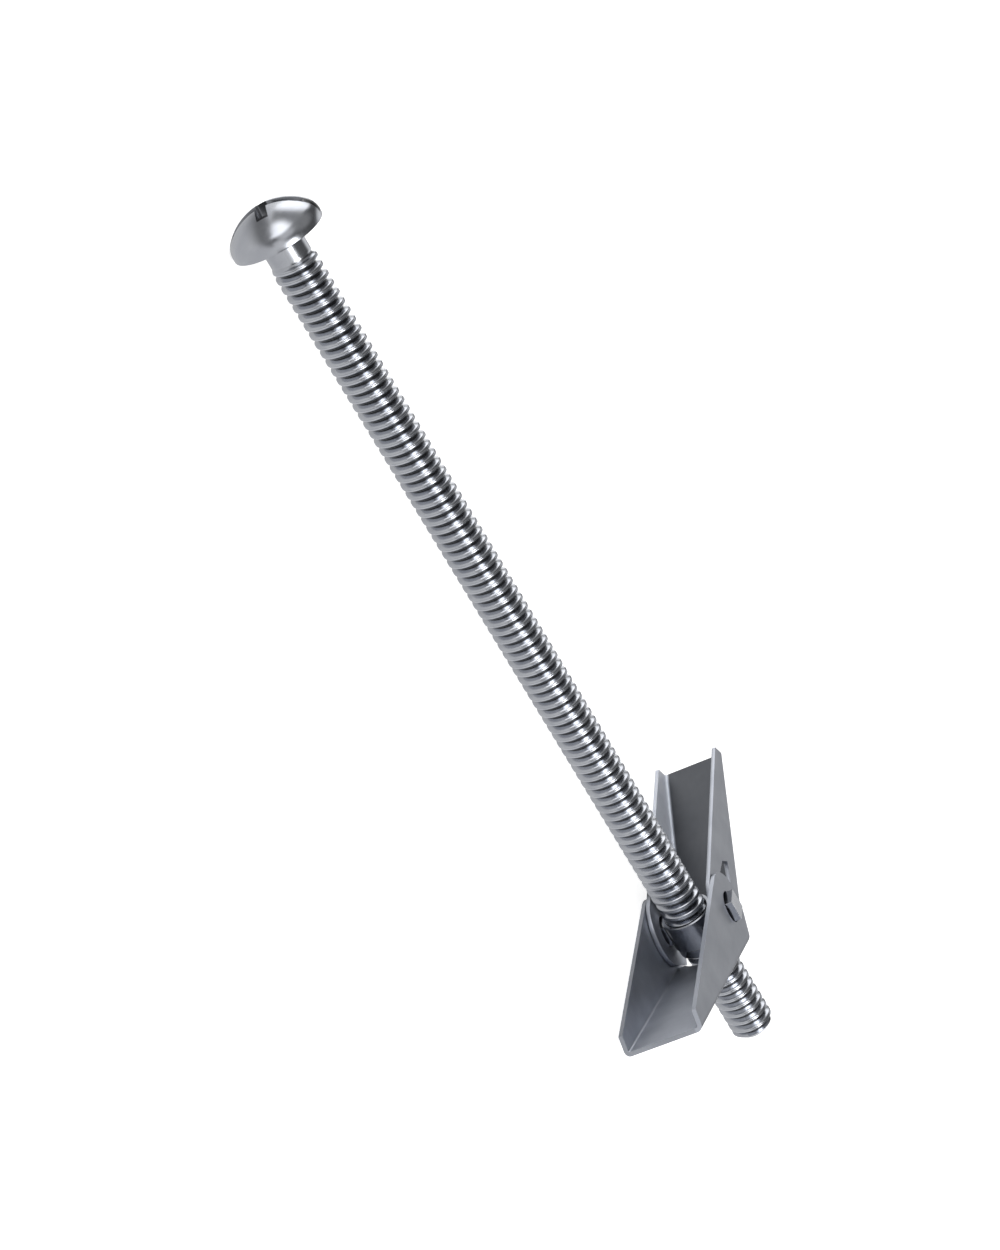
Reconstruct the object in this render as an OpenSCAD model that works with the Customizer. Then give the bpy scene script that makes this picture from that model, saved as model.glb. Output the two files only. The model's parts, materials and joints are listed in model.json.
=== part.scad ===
/* [Bolt] */
// Diameter over the thread's crests
thread_d = 4.8; // [4:0.1:5.4]
// Distance from one crest to the next
pitch = 1.058; // [0.9:0.001:1.3]
// Depth of the thread's groove
thread_depth = 0.48; // [0.3:0.01:0.55]
// Share of the pitch that is flat at the crest
crest_share = 0.42; // [0.08:0.01:0.5]
// Share of the pitch that is flat at the root
root_share = 0.14; // [0.08:0.01:0.3]
// Length of the bolt under its head
bolt_l = 101.6; // [98:0.1:140]
// Length of the plain neck under the head
neck_l = 2.2; // [1.2:0.1:8]
// Diameter of the plain neck
neck_d = 4.3; // [4:0.05:4.6]
// Radius of the fillet between the neck and the head
neck_fillet = 0.3; // [0.1:0.05:0.5]
// Length of the chamfer at the tail
tail_chamfer = 0.7; // [0.3:0.1:1.2]

/* [Head] */
// Diameter of the head
head_d = 9.6; // [8.4:0.1:12]
// Height of the dome above the head's rim
dome_h = 3.15; // [2.6:0.05:4]
// Radius of the dome's round shoulder
shoulder_r = 1.9; // [1.2:0.1:2.4]
// Height of the straight rim
rim_h = 0.47; // [0.3:0.01:0.8]
// Chamfer under the rim
rim_chamfer = 0.15; // [0.05:0.05:0.25]
// Width of the driver's slot
slot_w = 1.2; // [0.8:0.1:1.6]
// Depth of the slot below the dome's top
slot_depth = 1.5; // [0.8:0.1:2]
// Reach of the cross recess from the axis, at the top
cross_reach = 2.5; // [1.8:0.1:3.2]
// Reach of the cross recess from the axis, at its floor
cross_floor = 0.9; // [0.6:0.1:1.2]
// Depth of the cross recess below the dome's top
cross_depth = 2.4; // [1.8:0.1:2.7]
// Turn of the slot about the bolt's axis
slot_turn = 170; // [0:1:180]

/* [Trunnion nut] */
// Distance from the bolt's tail back to the trunnions' axis
nut_from_tail = 15.1; // [12:0.1:30]
// Diameter of the nut's collar
collar_d = 5.76; // [5.6:0.02:6.4]
// Length of the collar from the trunnions' axis towards the head
collar_front = 1.4; // [1.3:0.1:2.4]
// Length of the collar from the trunnions' axis towards the tail
collar_back = 1.9; // [1.3:0.1:2.6]
// Length of the thinner band behind the collar
band_l = 1; // [0.4:0.1:1.6]
// Step in radius from the collar down to the band
band_step = 0.12; // [0.04:0.02:0.2]
// Chamfer at the collar's ends
collar_chamfer = 0.12; // [0.04:0.02:0.2]
// Radial clearance between the nut's bore and the bolt
thread_clear = 0.05; // [0.02:0.01:0.08]
// Width of a square trunnion across its flats
trunnion_w = 2.4; // [2:0.05:2.5]
// Diameter over a trunnion's turned corners
trunnion_d = 3.34; // [3.2:0.02:3.4]
// Radial clearance between a trunnion's corners and an ear's hole
ear_clear = 0.06; // [0.02:0.01:0.1]
// How far a trunnion stands out past the outer ear
stub_out = 0.75; // [0.3:0.05:1]

/* [Wings] */
// Thickness of the wings' sheet
sheet_t = 0.45; // [0.3:0.01:0.6]
// Length of a wing from the trunnions' axis to its tip
wing_l = 25.2; // [20:0.1:29]
// Angle that an open wing leans towards the head
sweep = 17.8; // [12:0.1:24]
// Distance from the trunnions' axis to the web's outer face
web_out = 4.6; // [4.3:0.1:5.2]
// Radius of an ear about its hole
ear_r = 3.85; // [3.4:0.05:4.3]
// Height of the side walls at the tip
tip_h = 2.15; // [1.4:0.05:3]
// How far a side wall's free corner lies back from the tip
tip_back = 0.5; // [0:0.1:1.5]
// Outside radius of the bends
bend_r = 0.65; // [0.6:0.05:0.9]
// Clearance between the inner wing and the collar
collar_gap = 0.07; // [0.05:0.01:0.15]
// Clearance between the inner wing and the outer wing
wing_gap = 0.08; // [0.04:0.01:0.15]
// Distance from the trunnions' axis to the middle of the web's hollow inner end, inner wing
inner_web_start = 5.4; // [4.6:0.1:9]
// Radius of that hollow end, inner wing
inner_end_r = 4.6; // [4:0.1:6]
// Distance from the trunnions' axis to the middle of the web's hollow inner end, outer wing
outer_web_start = 1.9; // [1.8:0.1:6]
// Radius of that hollow end, outer wing
outer_end_r = 2.9; // [2.9:0.1:4.6]
// Distance outwards from the trunnions' axis up to which there is no web at all
web_none = 0.3; // [0.2:0.05:1]
// Near and far ends of the inner wing's window, from the trunnions' axis
window_u = [3.4, 6.9]; // [2.8:0.1:8]
// Height of the window's free side above the trunnions' axis, at its far end
window_low = 0.55; // [0.2:0.05:1]
// Width of the window at its near and far ends
window_w = [2.9, 1.4]; // [1:0.1:3]
// How much farther out each end of the window lies on its web side or, near the trunnion, nearer in
window_rise = 0.9; // [0:0.1:1.2]

/* [Spring] */
// Diameter of the spring's wire
wire_d = 0.35; // [0.25:0.01:0.4]
// Share of the wire's diameter from one turn to the next
turn_share = 0.92; // [0.85:0.01:0.97]
// Clearance between the coil and what lies beside it
coil_clear = 0.04; // [0.02:0.01:0.1]
// Diameter of a leg as a share of the coil's wire
leg_share = 0.9; // [0.8:0.01:0.95]
// Length of each leg, measured along its wing
leg_l = 10.5; // [8:0.1:14]

/* [Hidden] */
$fn = 64;
eps = 0.01;
// How far a cutting shape runs past what it cuts
over = 1;
zinc = [0.62, 0.64, 0.67];
zinc_dark = [0.42, 0.44, 0.47];
thread_r = thread_d / 2;
root_r = thread_r - thread_depth;
flank = pitch * (1 - crest_share - root_share) / 2;
thread_from = neck_l + thread_r - neck_d / 2;
turns = floor((bolt_l - tail_chamfer - thread_from) / pitch);
head_r = head_d / 2;
nut_at = bolt_l - nut_from_tail;
collar_r = collar_d / 2;
bore_r = thread_r + thread_clear;
coil_h = wire_d * (1 + turn_share);
coil_r = trunnion_d / 2 + coil_clear + wire_d / 2;
coil_low = collar_r + coil_clear;
// Inner faces of each wing's side walls, along the trunnions' axis
inner_z = [-collar_r - collar_gap, coil_low + coil_h + coil_clear];
outer_z = [inner_z[0] - sheet_t - wing_gap, inner_z[1] + sheet_t + wing_gap];
stub_z = [outer_z[0] - sheet_t - stub_out, outer_z[1] + sheet_t + stub_out];
web_in = web_out - sheet_t;
leg_z = [coil_low + wire_d / 2, coil_low + coil_h - wire_d / 2];

// Lays a shape that was made about Z along the bolt's axis, +Z becoming +X
module along_bolt() rotate([0, 90, 0]) children();

// The shank in outline: neck, thread's crests and the chamfered tail, with rings cut at the true pitch
module shank() {
    crest = pitch * crest_share;
    rise = thread_r - neck_d / 2;
    rotate_extrude() polygon(concat(
        [[0, -rim_h], [neck_d / 2, -rim_h], [neck_d / 2, neck_l], [thread_r, neck_l + rise]],
        [for (i = [0:turns - 2]) let (z = thread_from + crest + i * pitch) each [
            [thread_r, z],
            [root_r, z + flank],
            [root_r, z + flank + pitch * root_share],
            [thread_r, z + 2 * flank + pitch * root_share]]],
        [[thread_r, bolt_l - tail_chamfer], [thread_r - tail_chamfer, bolt_l], [0, bolt_l]]));
}

// The fillet under the head, a ring with a quarter-round face
module neck_ring() {
    rotate_extrude() difference() {
        translate([neck_d / 2 - eps, -eps]) square(neck_fillet + eps);
        translate([neck_d / 2 + neck_fillet, neck_fillet]) circle(neck_fillet);
    }
}

// Half of the head's section: a flat top arc, a round shoulder and a straight rim, with z pointing up
module head_profile() {
    shoulder_x = head_r - shoulder_r;
    // Drop of the top arc's centre below the rim, from the two arcs touching on one line
    drop = (shoulder_x * shoulder_x - pow(dome_h - shoulder_r, 2)) / (2 * (dome_h - shoulder_r));
    top_r = dome_h + drop;
    far = 2 * top_r;
    intersection() {
        union() {
            intersection() {
                translate([0, -drop]) circle(top_r, $fn = 180);
                polygon([[0, -drop], [shoulder_x * far / drop, -drop + far], [0, -drop + far]]);
            }
            translate([shoulder_x, 0]) circle(shoulder_r);
        }
        square([head_r, dome_h]);
    }
    polygon([[0, 0], [head_r, 0], [head_r, rim_chamfer - rim_h], [head_r - rim_chamfer, -rim_h],
        [0, -rim_h]]);
}

// One bar of the cross recess, narrowing towards its floor
module cross_bar() {
    rotate([90, 0, 0]) linear_extrude(slot_w, center = true) polygon([
        [-cross_reach, dome_h + eps], [-cross_floor, dome_h - cross_depth],
        [cross_floor, dome_h - cross_depth], [cross_reach, dome_h + eps]]);
}

// The head about Z with its dome up and its rim's lower edge at z = -rim_h
module head() {
    difference() {
        rotate_extrude() head_profile();
        rotate([0, 0, slot_turn]) {
            translate([-head_d, -slot_w / 2, dome_h - slot_depth]) cube([2 * head_d, slot_w, head_d]);
            cross_bar();
            rotate([0, 0, 90]) cross_bar();
        }
    }
}

module bolt() {
    color(zinc_dark) along_bolt() {
        shank();
        neck_ring();
        translate([0, 0, -rim_h]) mirror([0, 0, 1]) head();
    }
}

// A square bar with turned corners along Z, from z = low to z = high
module trunnion(low, high) {
    translate([0, 0, low]) intersection() {
        translate([-trunnion_w / 2, -trunnion_w / 2, 0]) cube([trunnion_w, trunnion_w, high - low]);
        cylinder(h = high - low, d = trunnion_d);
    }
}

// The nut's turned body about Z, with the trunnions' axis at z = 0
module collar() {
    back = collar_back + band_l;
    c = collar_chamfer;
    rotate_extrude() polygon([
        [0, -collar_front], [collar_r - c, -collar_front], [collar_r, c - collar_front],
        [collar_r, collar_back - c], [collar_r - c, collar_back],
        [collar_r - band_step, collar_back], [collar_r - band_step, back - c],
        [collar_r - band_step - c, back], [0, back]]);
}

module trunnion_nut() {
    color(zinc) translate([nut_at, 0, 0]) difference() {
        union() {
            along_bolt() collar();
            trunnion(stub_z[0], stub_z[1]);
        }
        along_bolt() translate([0, 0, -2 * collar_d]) cylinder(h = 4 * collar_d, r = bore_r);
    }
}

// Section of a channel that opens towards -X, with round bends of radius r on its web
module channel_outline(x, low, high, r) {
    back = -2 * ear_r;
    translate([back, low]) square([x - r - back, high - low]);
    translate([back, low + r]) square([x - back, high - low - 2 * r]);
    for (z = [low + r, high - r]) translate([x - r, z]) circle(r);
}

// Side view of a wing along +Y, h thick: round ear, web's straight edge, tip and tapering free edge
module wing_prism(h) {
    tip = [web_out - tip_h, wing_l - tip_back];
    heel = [web_out, -web_out * tan(sweep)];
    // Where a line from p touches a circle just inside the ear's, on the side given by turn
    r = ear_r - 2 * eps;
    function touch(p, turn) = let (a = atan2(p[1], p[0]) + turn * acos(r / norm(p)))
        r * [cos(a), sin(a)];
    cylinder(h = h, r = ear_r);
    linear_extrude(h) polygon([touch(tip, 1), tip, [web_out, wing_l], heel, touch(heel, -1)]);
}

// A wing about the trunnions' axis, along +Y with its web towards +X; z holds its walls' inner faces
module wing(z, window, web_start, end_r) {
    low = z[0] - sheet_t;
    high = z[1] + sheet_t;
    reach = wing_l + 2 * ear_r;
    hole_r = trunnion_d / 2 + ear_clear;
    difference() {
        intersection() {
            translate([0, wing_l + ear_r, 0]) rotate([90, 0, 0]) linear_extrude(reach + ear_r)
                difference() {
                    channel_outline(web_out, low, high, bend_r);
                    channel_outline(web_in, z[0], z[1], bend_r - sheet_t);
                }
            translate([0, 0, low - over]) wing_prism(high - low + 2 * over);
        }
        translate([0, 0, low - over]) cylinder(h = high - low + 2 * over, r = hole_r);
        // The web stops short of the bolt in a hollow curve, and between the ears there is none
        intersection() {
            translate([ear_r / 2, -ear_r, z[0]]) cube([web_out, web_start + ear_r, z[1] - z[0]]);
            translate([ear_r / 2, 0, 0]) union() {
                translate([0, web_start - end_r, 0]) rotate([0, 90, 0]) cylinder(h = web_out, r = end_r);
                translate([0, -ear_r, z[0]]) cube([web_out, web_none + ear_r, z[1] - z[0]]);
            }
        }
        if (window) translate([0, 0, z[1] - eps]) linear_extrude(sheet_t + over) window_outline();
    }
}

// The inner wing's window: its free side runs square to the bolt when the wing is open
module window_outline() {
    near = window_u[0];
    far = window_u[1];
    low_near = window_low - (far - near) * tan(sweep);
    polygon([[low_near, near + window_rise], [window_low, far],
        [window_low + window_w[1], far + window_rise], [low_near + window_w[0], near]]);
}

module wing_inner() {
    color(zinc) translate([nut_at, 0, 0]) rotate([0, 0, sweep])
        wing(inner_z, true, inner_web_start, inner_end_r);
}

module wing_outer() {
    color(zinc) translate([nut_at, 0, 0]) mirror([0, 1, 0]) rotate([0, 0, sweep])
        wing(outer_z, false, outer_web_start, outer_end_r);
}

// A round rod from p to q in a plane square to Z, at the height z, a little thinner than the coil's wire
module rod(p, q, z) {
    d = q - p;
    translate([p[0], p[1], z]) rotate([0, 0, atan2(d[1], d[0])]) rotate([0, 90, 0])
        cylinder(h = norm(d), d = leg_share * wire_d, $fn = 24);
}

// A spring leg at the height z: it leaves the coil at a tangent and ends against the web
module leg(z) {
    end = [web_in - wire_d / 2 - coil_clear, leg_l];
    a = atan2(end[1], end[0]) - acos(coil_r / norm(end));
    rod(coil_r * [cos(a), sin(a)], end, z);
}

module spring() {
    color(zinc_dark) translate([nut_at, 0, 0]) {
        rotate_extrude() for (z = leg_z) translate([coil_r, z]) circle(wire_d / 2, $fn = 24);
        rotate([0, 0, sweep]) leg(leg_z[1]);
        mirror([0, 1, 0]) rotate([0, 0, sweep]) leg(leg_z[0]);
    }
}

bolt();
trunnion_nut();
wing_inner();
wing_outer();
spring();
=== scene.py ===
"""Toggle anchor: zinc-plated bolt, nut, wings and spring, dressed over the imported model, in metres."""
import json
import math

import bmesh
import bpy
from mathutils import Matrix, Vector


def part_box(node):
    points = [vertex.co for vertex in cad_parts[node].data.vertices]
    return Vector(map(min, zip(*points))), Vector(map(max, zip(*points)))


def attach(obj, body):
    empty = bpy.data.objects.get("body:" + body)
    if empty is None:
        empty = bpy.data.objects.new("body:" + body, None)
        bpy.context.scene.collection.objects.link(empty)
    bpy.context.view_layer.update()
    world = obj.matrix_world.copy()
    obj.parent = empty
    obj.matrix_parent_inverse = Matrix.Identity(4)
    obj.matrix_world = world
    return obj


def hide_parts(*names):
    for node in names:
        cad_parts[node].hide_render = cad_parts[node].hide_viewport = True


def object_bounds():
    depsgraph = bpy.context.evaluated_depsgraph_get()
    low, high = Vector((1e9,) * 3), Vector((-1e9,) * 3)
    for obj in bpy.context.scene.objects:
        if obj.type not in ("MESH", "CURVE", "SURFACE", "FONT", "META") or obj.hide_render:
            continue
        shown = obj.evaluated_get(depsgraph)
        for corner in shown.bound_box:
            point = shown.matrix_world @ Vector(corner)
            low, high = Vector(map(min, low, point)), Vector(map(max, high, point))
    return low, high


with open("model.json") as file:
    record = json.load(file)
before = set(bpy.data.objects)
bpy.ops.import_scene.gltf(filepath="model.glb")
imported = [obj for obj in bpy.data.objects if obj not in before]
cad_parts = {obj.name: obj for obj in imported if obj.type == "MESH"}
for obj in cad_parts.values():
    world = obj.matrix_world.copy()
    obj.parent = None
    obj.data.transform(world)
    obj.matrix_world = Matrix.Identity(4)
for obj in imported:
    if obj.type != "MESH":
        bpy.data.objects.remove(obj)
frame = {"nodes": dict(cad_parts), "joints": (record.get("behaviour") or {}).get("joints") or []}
cad_low, cad_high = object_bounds()

MM = 0.001

# The bolt's thread, neck, head and recess
THREAD_R = 2.4 * MM
ROOT_R = 1.84 * MM
PITCH = 1.058 * MM
THREAD_START = 0.1 * MM
THREAD_STEPS = 58
NECK_R = 2.15 * MM
NECK_L = 2.2 * MM
NECK_FILLET = 0.3 * MM
RUN_IN = 0.9 * MM
TAIL_CHAMFER = 0.7 * MM
BOLT_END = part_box("bolt")[1].x
HEAD_R = 4.8 * MM
HEAD_STEPS = 128
DOME_H = 3.15 * MM
SHOULDER_R = 1.9 * MM
RIM_H = 0.47 * MM
RIM_ROUND = 0.12 * MM
SLOT_W = 1.2 * MM
SLOT_DEPTH = 1.5 * MM
SLOT_ANGLE = math.radians(80)
CROSS_W = SLOT_W * 0.98
CROSS_REACH = 2.5 * MM
CROSS_FLOOR = 0.9 * MM
CROSS_DEPTH = 2.4 * MM

# One pitch of the rolled thread: share of the pitch, and depth below the crest as a share of the full depth
THREAD_FORM = ((0.0, 0.06), (0.04, 0.01), (0.10, 0.0), (0.15, 0.01), (0.175, 0.05), (0.20, 0.01), (0.25, 0.0),
               (0.31, 0.01), (0.35, 0.06), (0.40, 0.2), (0.60, 0.86), (0.64, 0.97), (0.68, 1.0), (0.72, 0.97),
               (0.76, 0.86), (0.95, 0.2))

# The spring; a leg's end is seen from the coil's axis, before the leg is turned by the sweep
WIRE_R = 0.175 * MM
WIRE_SIDES = 16
COIL_R = 1.885 * MM
COIL_TURNS = 2.0
COIL_PITCH = 0.35 * MM
COIL_TURN_STEPS = 48
LEG_END = Vector((3.93 * MM, 10.5 * MM, 0))
LEG_SWEEP = math.radians(17.8)
PIVOT = Vector(next(j["pos_m"] for j in frame["joints"] if j["name"] == "inner_fold"))

# Distances below which vertices are merged
FINE_MERGE = 1e-7
NODE_MERGE = 1e-6
THREAD_MERGE = 2e-6

# Widths of the softened edges
HEAD_SOFT = 0.05 * MM
NUT_SOFT = 0.06 * MM
SHEET_SOFT = 0.045 * MM
WIRE_SOFT = 0.03 * MM

# Painted shade and light over one pitch, from crest to crest: painted shade in the root and in the crest's
# rolled seam, painted light brightest from the crest's end down the flank that faces the tail
THREAD_PAINTED_LIGHT = ((0.0, 0.8), (0.1, 0.84), (0.155, 0.85), (0.175, 0.62), (0.2, 0.88), (0.3, 1.0), (0.53, 1.0),
                 (0.57, 0.15), (0.60, 0.03), (0.67, 0.04), (0.72, 0.35), (0.8, 0.7), (1.0, 0.8))
HEAD_SHADE = 0.8
# Painted shade inside the slot and the cross recess
RECESS_PAINTED_SHADE = 0.12

# The sheet's plain tone and its painted shade and light; where the painted light passes the matt range, the
# plate also turns from metal to matt
WALL_SHADE = 0.78
# Painted shade on the inner wing below its top wall
WEB_PAINTED_SHADE = 0.22
# Painted light on the inner wing's lower wall past the ear
LOW_WALL_PAINTED_LIGHT = 1.8
# Painted light inside the outer wing's channel, from the first value to the second towards the tip
CHANNEL_PAINTED_LIGHT = (0.35, 0.55)
# Painted highlight on the cut edges along the top wall
EDGE_PAINTED_HIGHLIGHT = 0.4
# Painted highlight on faces turned towards the outer wing's tip
TIP_PAINTED_HIGHLIGHT = 0.15
MATT_RANGE = (1.3, 2)

# The plate's clouds between its two colours, and the height of its drawn lines
CLOUD_RANGE = (0.35, 0.65)
RELIEF = 0.01 * MM

# The stage: its middle, the floor's tone and its glow (each glow from and to), and the studio's dim part
MIDDLE = (0.05, 0, 0)
FLOOR_HALF = 3
FLOOR_ROUGH = 0.9
FLOOR_TONE = 0.82
FLOOR_TONE_MIRRORED = 0.15
FLOOR_GLOW_NEAR = 0.82
FLOOR_FALLOFF = (0.1, 0.35)
GLOW_PAST_HEAD = (0.1, 0.62)
GLOW_BEHIND = (0, 0.7)
STUDIO_DIM = 0.1

# The studio's bright parts: direction, half angle of the full part, half angle of the soft rim, strength
BRIGHT_PARTS = (
    ((-0.60, 0.77, 0.20), 12, 26, 2.2),
    ((-0.91, -0.32, 0.22), 15, 29, 2.2),
    ((-0.99, 0.1, 0.1), 12, 26, 0.3),
    ((0.0, -0.97, 0.15), 14, 32, 0.85),
    ((0.4, -0.72, 0.57), 7, 19, 2.2),
    ((0.42, 0.8, 0.42), 10, 27, 1.0),
    ((-0.50, -0.66, 0.56), 10, 28, 0.8),
    ((-0.75, 0.33, 0.57), 10, 24, 0.35),
    ((-0.45, 0, 0.9), 20, 42, 0.3),
)

# The photograph's camera, solved from the bolt, its thread, the head and the wings' corners
CAMERA_UNIT = 4.8 * MM
CAMERA_PLACE = Vector((-17.291, -58.312, 21.520)) * CAMERA_UNIT
CAMERA_RIGHT = Vector((0.4753, 0.1065, 0.8734))
CAMERA_BACK = Vector((-0.3969, -0.8599, 0.3209))
CAMERA_LENS = 93.25
CAMERA_FILM = 36
CAMERA_CLIP = 0.01


def finished(name, bm, material, body, replaced, sharp=35):
    """Makes a piece of bm: smooth faces with hard edges past the sharp angle, riding on body."""
    mesh = bpy.data.meshes.new(name)
    bm.to_mesh(mesh)
    bm.free()
    for face in mesh.polygons:
        face.use_smooth = True
    mesh.set_sharp_from_angle(angle=math.radians(sharp))
    piece = bpy.data.objects.new(name, mesh)
    bpy.context.scene.collection.objects.link(piece)
    mesh.materials.append(material)
    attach(piece, body)
    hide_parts(*replaced)
    return piece


def chain(bm, points):
    """A row of vertices joined by edges."""
    verts = [bm.verts.new(p) for p in points]
    edges = [bm.edges.new(pair) for pair in zip(verts, verts[1:])]
    return verts + edges


def arc(centre, radius, start, end, steps):
    """Points on an arc in the plane of the bolt's section: x along the bolt, y its radius."""
    angles = [math.radians(start + (end - start) * i / steps) for i in range(steps + 1)]
    return [(centre[0] + radius * math.cos(a), centre[1] + radius * math.sin(a), 0) for a in angles]


def cut(bm, cutters):
    """Takes each cutter's solid out of bm and gives the result as a new bmesh."""
    made = []
    for i, part in enumerate([bm] + cutters):
        mesh = bpy.data.meshes.new(f"cut_{i}")
        part.to_mesh(mesh)
        part.free()
        obj = bpy.data.objects.new(f"cut_{i}", mesh)
        bpy.context.scene.collection.objects.link(obj)
        made.append(obj)
    for tool in made[1:]:
        step = made[0].modifiers.new("cut", "BOOLEAN")
        step.operation = "DIFFERENCE"
        step.solver = "EXACT"
        step.object = tool
    bpy.context.view_layer.update()
    shape = made[0].evaluated_get(bpy.context.evaluated_depsgraph_get())
    out = bmesh.new()
    out.from_mesh(shape.to_mesh())
    shape.to_mesh_clear()
    for obj in made:
        bpy.data.objects.remove(obj)
    return out


def soften(bm, width, angle=30):
    """Breaks the edges of bm that are harder than the angle."""
    hard = [e for e in bm.edges if len(e.link_faces) == 2 and e.calc_face_angle() > math.radians(angle)]
    bmesh.ops.bevel(bm, geom=hard, offset=width, offset_type="OFFSET", segments=2, profile=0.5,
                    affect="EDGES", clamp_overlap=True, material=-1)


# Bolt


def head_shell():
    """The domed head: a flat top arc, a round shoulder, a rim and the seat, spun about the bolt's axis."""
    bm = bmesh.new()
    shoulder_y = HEAD_R - SHOULDER_R
    rise = DOME_H - SHOULDER_R
    drop = (shoulder_y ** 2 - rise ** 2) / (2 * rise)
    top_r = DOME_H + drop
    lean = math.degrees(math.atan2(shoulder_y, drop))
    top = arc((-RIM_H + drop, 0), top_r, 180, 180 - lean, steps=18)
    shoulder = arc((-RIM_H, shoulder_y), SHOULDER_R, 180 - lean, 90, steps=14)[1:]
    rim = arc((-RIM_ROUND, HEAD_R - RIM_ROUND), RIM_ROUND, 90, 0, steps=4)
    fillet = arc((NECK_FILLET, NECK_R + NECK_FILLET), NECK_FILLET, 180, 270, steps=6)
    points = top + shoulder + rim + fillet + [(NECK_FILLET, 0, 0)]
    bmesh.ops.spin(bm, geom=chain(bm, points), cent=(0, 0, 0), axis=(1, 0, 0), angle=math.tau,
                   steps=HEAD_STEPS, use_merge=True)
    bmesh.ops.remove_doubles(bm, verts=bm.verts, dist=FINE_MERGE)
    bmesh.ops.dissolve_degenerate(bm, edges=bm.edges, dist=FINE_MERGE)
    bmesh.ops.recalc_face_normals(bm, faces=bm.faces)
    return bm


def recess_tools():
    """The slot right across the head and the two bars of the cross recess, which narrow downwards."""
    top = -RIM_H - DOME_H
    turn = Matrix.Rotation(SLOT_ANGLE, 4, "X")
    slot = bmesh.new()
    bmesh.ops.create_cube(slot, size=1)
    bmesh.ops.scale(slot, vec=(2 * SLOT_DEPTH, 3 * HEAD_R, SLOT_W), verts=slot.verts)
    bmesh.ops.translate(slot, vec=(top, 0, 0), verts=slot.verts)
    bmesh.ops.transform(slot, matrix=turn, verts=slot.verts)
    tools = [slot]
    for quarter in (0, 1):
        bar = bmesh.new()
        bmesh.ops.create_cube(bar, size=1)
        over = 0.2 * CROSS_DEPTH
        bmesh.ops.scale(bar, vec=(CROSS_DEPTH + over, 1, CROSS_W), verts=bar.verts)
        bmesh.ops.translate(bar, vec=(top + (CROSS_DEPTH - over) / 2, 0, 0), verts=bar.verts)
        for v in bar.verts:
            deep = (v.co.x - top) / CROSS_DEPTH
            v.co.y *= 2 * (CROSS_REACH + (CROSS_FLOOR - CROSS_REACH) * deep)
        bmesh.ops.transform(bar, matrix=Matrix.Rotation(quarter * math.pi / 2, 4, "X"), verts=bar.verts)
        bmesh.ops.transform(bar, matrix=turn, verts=bar.verts)
        tools.append(bar)
    return tools


def thread_radius(x, depth):
    """Radius of a thread's point, with the neck's plain run before it and the chamfer at the tail."""
    full = THREAD_R - depth * (THREAD_R - ROOT_R)
    begun = min(max((x - NECK_L) / RUN_IN, 0), 1)
    begun = begun * begun * (3 - 2 * begun)
    full = NECK_R + (full - NECK_R) * begun
    return min(full, THREAD_R - max(x - (BOLT_END - TAIL_CHAMFER), 0))


def thread_shell():
    """Neck and thread: the profile from two pitches before the seat to past the tail, copied in steps over
    one pitch with each copy turned by its share of one turn, and cut off at both ends."""
    bm = bmesh.new()
    first = -2 * PITCH
    turns = math.ceil((BOLT_END - first) / PITCH) + 2
    points = [(first + (i + share) * PITCH, depth, 0) for i in range(turns) for share, depth in THREAD_FORM]
    bmesh.ops.spin(bm, geom=chain(bm, points), cent=(0, 0, 0), axis=(1, 0, 0), angle=0,
                   dvec=(PITCH / THREAD_STEPS, 0, 0), steps=THREAD_STEPS)
    count = len(points)
    bm.verts.ensure_lookup_table()
    for i, v in enumerate(bm.verts):
        v.co.z = math.tau * (i // count) / THREAD_STEPS
    for v in bm.verts:
        r = thread_radius(v.co.x, v.co.y)
        v.co = (v.co.x, r * math.cos(v.co.z), -r * math.sin(v.co.z))
    bmesh.ops.remove_doubles(bm, verts=bm.verts, dist=THREAD_MERGE)
    for x, keep in ((THREAD_START, 1), (BOLT_END, -1)):
        found = bmesh.ops.bisect_plane(bm, geom=bm.verts[:] + bm.edges[:] + bm.faces[:], plane_co=(x, 0, 0),
                                       plane_no=(keep, 0, 0), clear_inner=True, dist=FINE_MERGE)
        rim = [e for e in found["geom_cut"] if isinstance(e, bmesh.types.BMEdge)]
        bmesh.ops.edgeloop_fill(bm, edges=rim)
    bmesh.ops.recalc_face_normals(bm, faces=bm.faces)
    return bm


def add_bolt(material):
    """Head and thread as one piece."""
    bolt = cut(head_shell(), recess_tools())
    soften(bolt, HEAD_SOFT, angle=38)
    thread = thread_shell()
    joined = bpy.data.meshes.new("thread")
    thread.to_mesh(joined)
    thread.free()
    bolt.from_mesh(joined)
    bpy.data.meshes.remove(joined)
    finished("threaded_bolt", bolt, material, "bolt", ["bolt"], sharp=50)


# Nut and wings


def softened_node(node, width):
    """A merged copy of a CAD node's mesh with flat faces joined and its hard edges broken."""
    bm = bmesh.new()
    bm.from_mesh(frame["nodes"][node].data)
    bmesh.ops.remove_doubles(bm, verts=bm.verts, dist=NODE_MERGE)
    bmesh.ops.dissolve_limit(bm, angle_limit=math.radians(0.5), verts=bm.verts, edges=bm.edges)
    soften(bm, width)
    return bm


def even_shading(piece):
    """Flat faces keep a flat shade right up to their softened edges."""
    even = piece.modifiers.new("even_shading", "WEIGHTED_NORMAL")
    even.keep_sharp = True
    even.weight = 90


def add_nut(material):
    """The nut keeps its node's shape."""
    bm = softened_node("trunnion_nut", NUT_SOFT)
    even_shading(finished("turned_nut", bm, material, "nut", ["trunnion_nut"]))


def add_wing(node, material):
    """A wing keeps its node's shape; the node and its body have the same name."""
    bm = softened_node(node, SHEET_SOFT)
    even_shading(finished(node.replace("wing", "folded_wing"), bm, material, node, [node]))


# Spring


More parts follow.
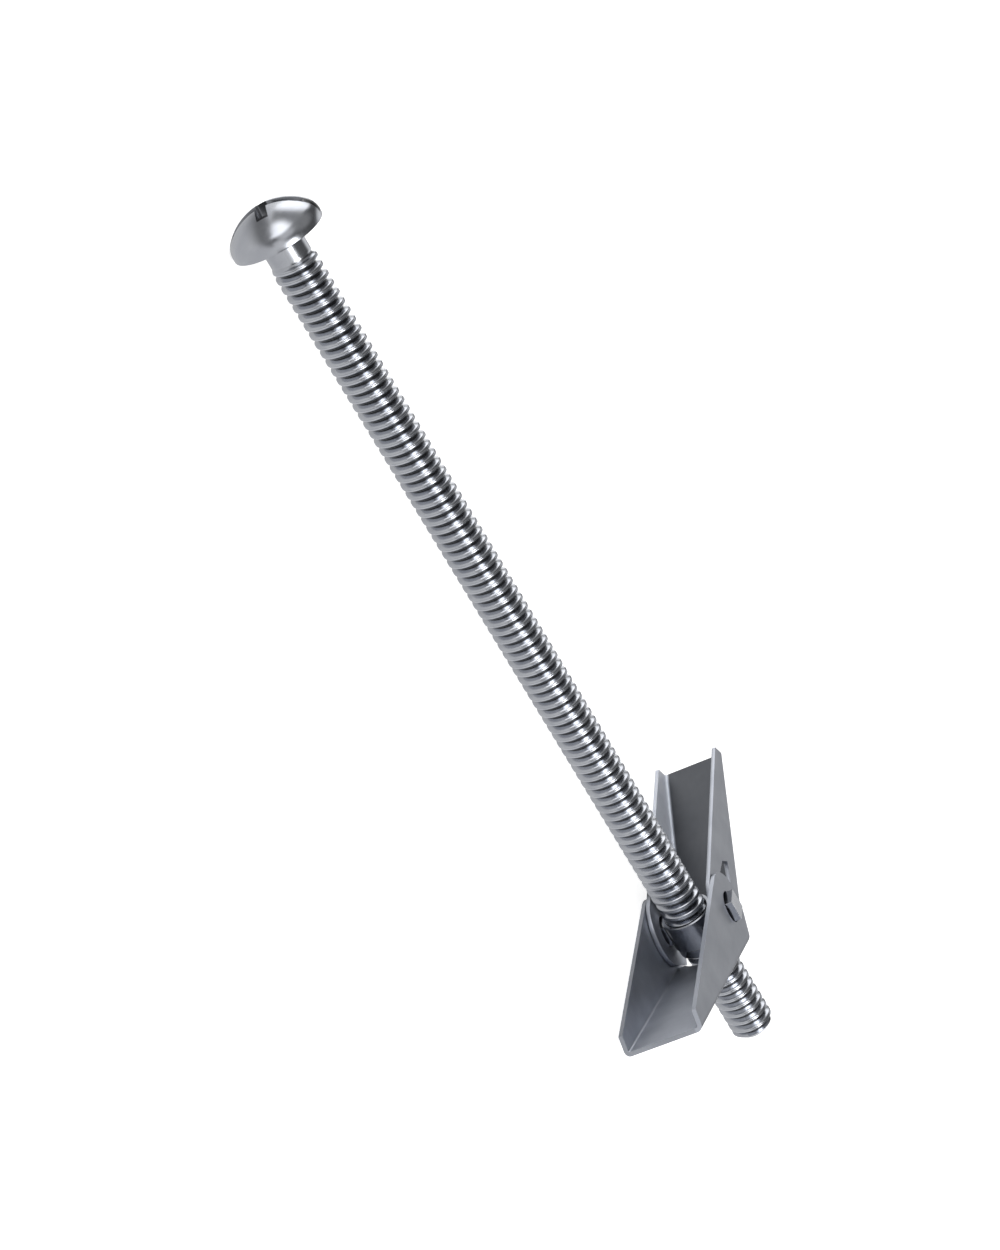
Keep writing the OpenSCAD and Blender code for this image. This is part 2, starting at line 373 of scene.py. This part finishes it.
def coil_shell(mid_z):
    """A ring of wire spun along a helix about the trunnions' axis."""
    bm = bmesh.new()
    start = Vector((COIL_R, 0, mid_z - COIL_PITCH * COIL_TURNS / 2 + WIRE_R * 0.5))
    across = Matrix.Rotation(math.pi / 2, 4, "X")
    ring = bmesh.ops.create_circle(bm, radius=WIRE_R, segments=WIRE_SIDES,
                                   matrix=Matrix.Translation(start) @ across)
    section = ring["verts"] + list({e for v in ring["verts"] for e in v.link_edges})
    rise = COIL_PITCH * (COIL_TURNS - 0.5) / COIL_TURNS / COIL_TURN_STEPS
    bmesh.ops.spin(bm, geom=section, cent=(0, 0, 0), axis=(0, 0, 1), angle=math.tau * COIL_TURNS,
                   steps=int(COIL_TURN_STEPS * COIL_TURNS), dvec=(0, 0, rise))
    bmesh.ops.holes_fill(bm, edges=bm.edges, sides=WIRE_SIDES)
    bmesh.ops.recalc_face_normals(bm, faces=bm.faces)
    bmesh.ops.translate(bm, vec=(PIVOT.x, 0, 0), verts=bm.verts)
    return bm


def leg_shell(side, z):
    """A straight leg that leaves the coil at a tangent, at height z; side is 1 inner, -1 outer."""
    bm = bmesh.new()
    leaves = math.atan2(LEG_END.y, LEG_END.x) - math.acos(COIL_R / LEG_END.length)
    begin = Vector((math.cos(leaves), math.sin(leaves), 0)) * COIL_R
    along = LEG_END - begin
    turn = along.to_track_quat("Z", "Y").to_matrix().to_4x4()
    bmesh.ops.create_cone(bm, cap_ends=True, segments=WIRE_SIDES, radius1=WIRE_R, radius2=WIRE_R,
                          depth=along.length, matrix=Matrix.Translation((begin + LEG_END) / 2) @ turn)
    soften(bm, WIRE_SOFT, angle=60)
    bmesh.ops.transform(bm, matrix=Matrix.Rotation(LEG_SWEEP, 4, "Z"), verts=bm.verts)
    bmesh.ops.scale(bm, vec=(1, side, 1), verts=bm.verts)
    bmesh.ops.translate(bm, vec=(PIVOT.x, 0, z), verts=bm.verts)
    bmesh.ops.recalc_face_normals(bm, faces=bm.faces)
    return bm


def add_spring(material):
    """The coil rides on the nut, and each leg on the wing that it pushes."""
    low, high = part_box("spring")
    finished("spring_coil", coil_shell((low.z + high.z) / 2), material, "nut", ["spring"])
    for body, side, z in (("wing_inner", 1, high.z - WIRE_R), ("wing_outer", -1, low.z + WIRE_R)):
        finished(f"spring_leg_{body}", leg_shell(side, z), material, body, ["spring"])


# Nodes


def feed(links, socket, value):
    """Links value to socket where it is a socket too, and otherwise sets it as a plain number."""
    if isinstance(value, (int, float)):
        socket.default_value = value
    else:
        links.new(value, socket)


def stepped(nodes, links, value, start, end, low, high):
    """A soft step from low to high while value goes from start to end."""
    step = nodes.new("ShaderNodeMapRange")
    step.interpolation_type = "SMOOTHSTEP"
    step.inputs["From Min"].default_value = start
    step.inputs["From Max"].default_value = end
    step.inputs["To Min"].default_value = low
    step.inputs["To Max"].default_value = high
    links.new(value, step.inputs["Value"])
    return step.outputs["Result"]


def combined(nodes, links, operation, a, b=0):
    """One math node; a and b are sockets or plain numbers."""
    node = nodes.new("ShaderNodeMath")
    node.operation = operation
    feed(links, node.inputs[0], a)
    feed(links, node.inputs[1], b)
    return node.outputs[0]


def mixed(nodes, links, factor, a, b):
    """a where factor is 0 and b where it is 1."""
    node = nodes.new("ShaderNodeMix")
    feed(links, node.inputs["Factor"], factor)
    feed(links, node.inputs["A"], a)
    feed(links, node.inputs["B"], b)
    return node.outputs["Result"]


def separated(nodes, links, vector):
    """The X, Y and Z of a vector."""
    node = nodes.new("ShaderNodeSeparateXYZ")
    links.new(vector, node.inputs[0])
    return node.outputs


def along_axis(nodes, links, vector, axis):
    """How far a vector reaches along a fixed axis."""
    node = nodes.new("ShaderNodeVectorMath")
    node.operation = "DOT_PRODUCT"
    node.inputs[1].default_value = axis
    links.new(vector, node.inputs[0])
    return node.outputs["Value"]


# Materials


def plating_group():
    """Zinc plate's two masks: clouds that vary slowly, and fine drawn lines along one axis."""
    group = bpy.data.node_groups.new("zinc_plating", "ShaderNodeTree")
    group.interface.new_socket(name="Cloud Scale", in_out="INPUT", socket_type="NodeSocketFloat")
    group.interface.new_socket(name="Line Scale", in_out="INPUT", socket_type="NodeSocketVector")
    group.interface.new_socket(name="Cloud", in_out="OUTPUT", socket_type="NodeSocketFloat")
    group.interface.new_socket(name="Lines", in_out="OUTPUT", socket_type="NodeSocketFloat")
    nodes, links = group.nodes, group.links
    given = nodes.new("NodeGroupInput")
    out = nodes.new("NodeGroupOutput")
    place = nodes.new("ShaderNodeTexCoord")
    clouds = nodes.new("ShaderNodeTexNoise")
    clouds.inputs["Detail"].default_value = 4
    links.new(place.outputs["Object"], clouds.inputs["Vector"])
    links.new(given.outputs["Cloud Scale"], clouds.inputs["Scale"])
    links.new(clouds.outputs["Fac"], out.inputs["Cloud"])
    stretch = nodes.new("ShaderNodeMapping")
    lines = nodes.new("ShaderNodeTexNoise")
    lines.inputs["Scale"].default_value = 1
    lines.inputs["Detail"].default_value = 3
    links.new(place.outputs["Object"], stretch.inputs["Vector"])
    links.new(given.outputs["Line Scale"], stretch.inputs["Scale"])
    links.new(stretch.outputs["Vector"], lines.inputs["Vector"])
    links.new(lines.outputs["Fac"], out.inputs["Lines"])
    return group


def head_tone_and_recess_painted_shade(nodes, links, position, along_bolt):
    """Painted shade inside the slot and the cross recess, otherwise the head's own tone."""
    offsets = []
    for turn in (SLOT_ANGLE + math.pi / 2, SLOT_ANGLE):
        across = along_axis(nodes, links, position, (0, math.cos(turn), math.sin(turn)))
        offsets.append(combined(nodes, links, "ABSOLUTE", across))
    half = SLOT_W / 2
    rim = 0.04 * MM
    in_slot = stepped(nodes, links, offsets[0], half - rim, half + rim, 1, 0)
    in_bar = stepped(nodes, links, offsets[1], half - rim, half + rim, 1, 0)
    in_reach = stepped(nodes, links, offsets[0], CROSS_REACH - rim, CROSS_REACH + rim, 1, 0)
    in_cross = combined(nodes, links, "MULTIPLY", in_bar, in_reach)
    on_dome = stepped(nodes, links, along_bolt, -RIM_H - 0.1 * MM, -RIM_H, 1, 0)
    inside = combined(nodes, links, "MULTIPLY", combined(nodes, links, "MAXIMUM", in_slot, in_cross), on_dome)
    darker = combined(nodes, links, "MULTIPLY", inside, HEAD_SHADE - RECESS_PAINTED_SHADE)
    return combined(nodes, links, "SUBTRACT", HEAD_SHADE, darker)


def bolt_tone_and_painted_light(nodes, links):
    """Painted shade and light that follow the helix, by the phase within one pitch; head, neck and tail face
    take the head's tone instead.
    """
    place = nodes.new("ShaderNodeTexCoord")
    spot = separated(nodes, links, place.outputs["Object"])
    below = combined(nodes, links, "MULTIPLY", spot["Z"], -1)
    turns = combined(nodes, links, "DIVIDE", combined(nodes, links, "ARCTAN2", below, spot["Y"]), math.tau)
    pitches = combined(nodes, links, "DIVIDE", spot["X"], PITCH)
    phase = combined(nodes, links, "FRACT", combined(nodes, links, "SUBTRACT", pitches, turns))
    # The thread's painted shade and light, one stop for each listed phase
    ramp = nodes.new("ShaderNodeValToRGB")
    stops = ramp.color_ramp.elements
    stops[0].position = THREAD_PAINTED_LIGHT[0][0]
    stops[1].position = THREAD_PAINTED_LIGHT[-1][0]
    for at, _ in THREAD_PAINTED_LIGHT[1:-1]:
        stops.new(at)
    for stop, (_, tone) in zip(stops, THREAD_PAINTED_LIGHT):
        stop.color = (tone, tone, tone, 1)
    links.new(phase, ramp.inputs["Fac"])
    past_neck = stepped(nodes, links, spot["X"], NECK_L, NECK_L + RUN_IN / 2, 0, 1)
    before_tail = stepped(nodes, links, spot["X"], BOLT_END - 0.1 * MM, BOLT_END - 0.02 * MM, 1, 0)
    on_thread = combined(nodes, links, "MULTIPLY", past_neck, before_tail)
    head = head_tone_and_recess_painted_shade(nodes, links, place.outputs["Object"], spot["X"])
    return mixed(nodes, links, on_thread, head, ramp.outputs["Color"])


def sheet_tone_and_painted_light(nodes, links):
    """The sheet's plain tone with painted shade and light by place and facing. The inner wing has painted
    shade below its top wall and painted light on its lower wall, the outer wing has painted light inside its
    channel, and both have painted highlights on cut edges along the top wall and at the tip."""
    place = nodes.new("ShaderNodeTexCoord")
    spot = separated(nodes, links, place.outputs["Object"])
    height, side = spot["Z"], spot["Y"]
    facing = separated(nodes, links, place.outputs["Normal"])

    # Painted light on the inner wing's lower wall past the ear
    at_low_wall = stepped(nodes, links, height, -2.5 * MM, -2.9 * MM, 0, LOW_WALL_PAINTED_LIGHT)
    past_ear = stepped(nodes, links, side, 8 * MM, 11 * MM, 0, 1)
    low_wall_light = combined(nodes, links, "MULTIPLY", at_low_wall, past_ear)
    # Painted shade on the inner wing below its top wall; the top wall keeps the plain tone
    below_wall = combined(nodes, links, "ADD", low_wall_light, WEB_PAINTED_SHADE)
    at_top_wall = stepped(nodes, links, height, 3.5 * MM, 3.7 * MM, 0, 1)
    inner = mixed(nodes, links, at_top_wall, below_wall, WALL_SHADE)

    # Painted light inside the outer wing's channel, on faces turned up or towards the head, rising towards
    # the tip
    faces_up = stepped(nodes, links, facing["Z"], 0.3, 0.6, 0, 1)
    faces_head = stepped(nodes, links, facing["X"], -0.5, -0.8, 0, 1)
    above_low_wall = stepped(nodes, links, height, -3.5 * MM, -3.3 * MM, 0, 1)
    web_inside = combined(nodes, links, "MULTIPLY", faces_head, above_low_wall)
    inward = combined(nodes, links, "MAXIMUM", faces_up, web_inside)
    below_top_wall = stepped(nodes, links, height, 3.9 * MM, 3.7 * MM, 0, 1)
    towards_tip = stepped(nodes, links, side, -3 * MM, -12 * MM, *CHANNEL_PAINTED_LIGHT)
    inside = combined(nodes, links, "MULTIPLY", below_top_wall, towards_tip)
    outer = combined(nodes, links, "ADD", WALL_SHADE, combined(nodes, links, "MULTIPLY", inside, inward))

    on_inner_wing = stepped(nodes, links, side, 0, 2 * MM, 0, 1)
    both = mixed(nodes, links, on_inner_wing, outer, inner)
    # Painted highlight on cut edges turned towards the head along the top wall
    cut_edge = stepped(nodes, links, facing["X"], -0.3, -0.6, 0, 1)
    at_top = stepped(nodes, links, height, 3.7 * MM, 3.9 * MM, 0, EDGE_PAINTED_HIGHLIGHT)
    edge = combined(nodes, links, "MULTIPLY", cut_edge, at_top)
    # Painted highlight on faces turned towards the outer wing's tip
    faces_tip = stepped(nodes, links, facing["Y"], -0.4, -0.8, 0, 1)
    tip = combined(nodes, links, "MULTIPLY", faces_tip, TIP_PAINTED_HIGHLIGHT)
    return combined(nodes, links, "ADD", both, combined(nodes, links, "ADD", edge, tip))


def metal(name, plating, dark, light, rough, cloud_scale, line_scale, bump, shade=None):
    """A plated metal: base colour between dark and light by the clouds, roughness by the drawn lines."""
    material = bpy.data.materials.new(name)
    material.use_nodes = True
    nodes, links = material.node_tree.nodes, material.node_tree.links
    shader = nodes["Principled BSDF"]
    shader.inputs["Metallic"].default_value = 1
    finish = nodes.new("ShaderNodeGroup")
    finish.node_tree = plating
    finish.inputs["Cloud Scale"].default_value = cloud_scale
    finish.inputs["Line Scale"].default_value = line_scale
    colour = nodes.new("ShaderNodeMix")
    colour.data_type = "RGBA"
    colour.inputs["A"].default_value = (*dark, 1)
    colour.inputs["B"].default_value = (*light, 1)
    spread = nodes.new("ShaderNodeMapRange")
    spread.inputs["From Min"].default_value = CLOUD_RANGE[0]
    spread.inputs["From Max"].default_value = CLOUD_RANGE[1]
    links.new(finish.outputs["Cloud"], spread.inputs["Value"])
    links.new(spread.outputs["Result"], colour.inputs["Factor"])
    tone = colour.outputs["Result"]
    # Where given, the base colour is scaled by the tone with its painted shade and light; past the matt range
    # the plate turns matt
    if shade:
        toned = nodes.new("ShaderNodeVectorMath")
        toned.operation = "SCALE"
        links.new(tone, toned.inputs[0])
        tone_and_painted_light = shade(nodes, links)
        links.new(tone_and_painted_light, toned.inputs["Scale"])
        links.new(stepped(nodes, links, tone_and_painted_light, *MATT_RANGE, 1, 0), shader.inputs["Metallic"])
        tone = toned.outputs["Vector"]
    links.new(tone, shader.inputs["Base Color"])
    gloss = nodes.new("ShaderNodeMapRange")
    gloss.inputs["To Min"].default_value = rough[0]
    gloss.inputs["To Max"].default_value = rough[1]
    links.new(finish.outputs["Lines"], gloss.inputs["Value"])
    links.new(gloss.outputs["Result"], shader.inputs["Roughness"])
    relief = nodes.new("ShaderNodeBump")
    relief.inputs["Distance"].default_value = RELIEF
    relief.inputs["Strength"].default_value = bump
    links.new(finish.outputs["Lines"], relief.inputs["Height"])
    links.new(relief.outputs["Normal"], shader.inputs["Normal"])
    return material


# Stage


def lit_white(name):
    """A white that glows for the camera, fully past the falloff from the middle, and in reflections by its
    place: more past the head, and more behind the bolt."""
    material = bpy.data.materials.new(name)
    material.use_nodes = True
    nodes, links = material.node_tree.nodes, material.node_tree.links
    shader = nodes["Principled BSDF"]
    shader.inputs["Roughness"].default_value = FLOOR_ROUGH
    shader.inputs["Emission Color"].default_value = (1, 1, 1, 1)
    path = nodes.new("ShaderNodeLightPath")
    mirrored = path.outputs["Is Glossy Ray"]
    tone = stepped(nodes, links, mirrored, 0, 1, FLOOR_TONE, FLOOR_TONE_MIRRORED)
    links.new(tone, shader.inputs["Base Color"])
    place = nodes.new("ShaderNodeTexCoord")
    spot = separated(nodes, links, place.outputs["Object"])
    distance = nodes.new("ShaderNodeVectorMath")
    distance.operation = "DISTANCE"
    distance.inputs[1].default_value = MIDDLE
    links.new(place.outputs["Object"], distance.inputs[0])
    glow = stepped(nodes, links, distance.outputs["Value"], *FLOOR_FALLOFF, FLOOR_GLOW_NEAR, 1)
    seen = combined(nodes, links, "MULTIPLY", path.outputs["Is Camera Ray"], glow)
    past_head = stepped(nodes, links, spot["X"], -14 * MM, -4 * MM, *GLOW_PAST_HEAD)
    behind = stepped(nodes, links, spot["Y"], 6 * MM, 22 * MM, *GLOW_BEHIND)
    by_place = combined(nodes, links, "ADD", past_head, behind)
    total = combined(nodes, links, "ADD", seen, combined(nodes, links, "MULTIPLY", mirrored, by_place))
    links.new(total, shader.inputs["Emission Strength"])
    return material


def add_floor():
    """A plain floor at the height of the part's lowest point."""
    bm = bmesh.new()
    bmesh.ops.create_grid(bm, x_segments=1, y_segments=1, size=FLOOR_HALF)
    bmesh.ops.translate(bm, vec=(MIDDLE[0], MIDDLE[1], cad_low.z), verts=bm.verts)
    mesh = bpy.data.meshes.new("floor")
    bm.to_mesh(mesh)
    bm.free()
    floor = bpy.data.objects.new("floor", mesh)
    bpy.context.scene.collection.objects.link(floor)
    mesh.materials.append(lit_white("floor_white"))


def softbox(name, place, target, size, power):
    """An area light at place that faces target."""
    lamp = bpy.data.lights.new(name, "AREA")
    lamp.shape = "RECTANGLE"
    lamp.size, lamp.size_y = size
    lamp.energy = power
    box = bpy.data.objects.new(name, lamp)
    box.location = place
    box.rotation_euler = (Vector(target) - Vector(place)).to_track_quat("-Z", "Y").to_euler()
    bpy.context.scene.collection.objects.link(box)


def add_world():
    """White behind the object; for light and reflections a dim studio with a few soft bright parts."""
    world = bpy.data.worlds.new("studio")
    bpy.context.scene.world = world
    world.use_nodes = True
    nodes, links = world.node_tree.nodes, world.node_tree.links
    background = nodes["Background"]
    path = nodes.new("ShaderNodeLightPath")
    direction = nodes.new("ShaderNodeTexCoord")
    brightest = STUDIO_DIM
    for axis, full, rim, strength in BRIGHT_PARTS:
        near = along_axis(nodes, links, direction.outputs["Generated"], Vector(axis).normalized())
        fades_at = math.cos(math.radians(rim))
        full_at = math.cos(math.radians(full))
        part = stepped(nodes, links, near, fades_at, full_at, STUDIO_DIM, strength)
        brightest = combined(nodes, links, "MAXIMUM", part, brightest)
    seen = mixed(nodes, links, path.outputs["Is Camera Ray"], brightest, 1)
    links.new(seen, background.inputs["Strength"])
    background.inputs["Color"].default_value = (1, 1, 1, 1)


def add_camera():
    """A camera with square axes, as near as can be to the solved ones."""
    up = CAMERA_BACK.cross(CAMERA_RIGHT).normalized()
    right = up.cross(CAMERA_BACK).normalized()
    back = CAMERA_BACK.normalized()
    data = bpy.data.cameras.new("photo_camera")
    data.lens = CAMERA_LENS
    data.sensor_width = CAMERA_FILM
    data.clip_start = CAMERA_CLIP
    camera = bpy.data.objects.new("photo_camera", data)
    spin = Matrix((right, up, back)).transposed().to_4x4()
    camera.matrix_world = Matrix.Translation(CAMERA_PLACE) @ spin
    bpy.context.scene.collection.objects.link(camera)
    bpy.context.scene.camera = camera


plating = plating_group()
bolt_zinc = metal("bolt_zinc", plating, dark=(0.57, 0.59, 0.64), light=(0.65, 0.67, 0.715), rough=(0.2, 0.28),
                  cloud_scale=500, line_scale=(300, 3000, 3000), bump=0.02, shade=bolt_tone_and_painted_light)
nut_zinc = metal("nut_zinc", plating, dark=(0.26, 0.27, 0.295), light=(0.32, 0.33, 0.355), rough=(0.16, 0.26),
                 cloud_scale=500, line_scale=(3000, 300, 300), bump=0.05)
sheet_zinc = metal("sheet_zinc", plating, dark=(0.39, 0.41, 0.455), light=(0.45, 0.47, 0.515),
                   rough=(0.44, 0.52), cloud_scale=260, line_scale=(2500, 120, 2500), bump=0.03,
                   shade=sheet_tone_and_painted_light)
wire_steel = metal("wire_steel", plating, dark=(0.42, 0.43, 0.45), light=(0.52, 0.53, 0.55),
                   rough=(0.15, 0.3), cloud_scale=800, line_scale=(1500, 1500, 1500), bump=0.1)

add_bolt(bolt_zinc)
add_nut(nut_zinc)
add_wing("wing_inner", sheet_zinc)
add_wing("wing_outer", sheet_zinc)
add_spring(wire_steel)

add_floor()
add_world()
softbox("front_softbox", place=(0.26, -0.28, 0.3), target=MIDDLE, size=(0.3, 0.16), power=0.9)
add_camera()

scene = bpy.context.scene
scene.view_settings.view_transform = "Standard"
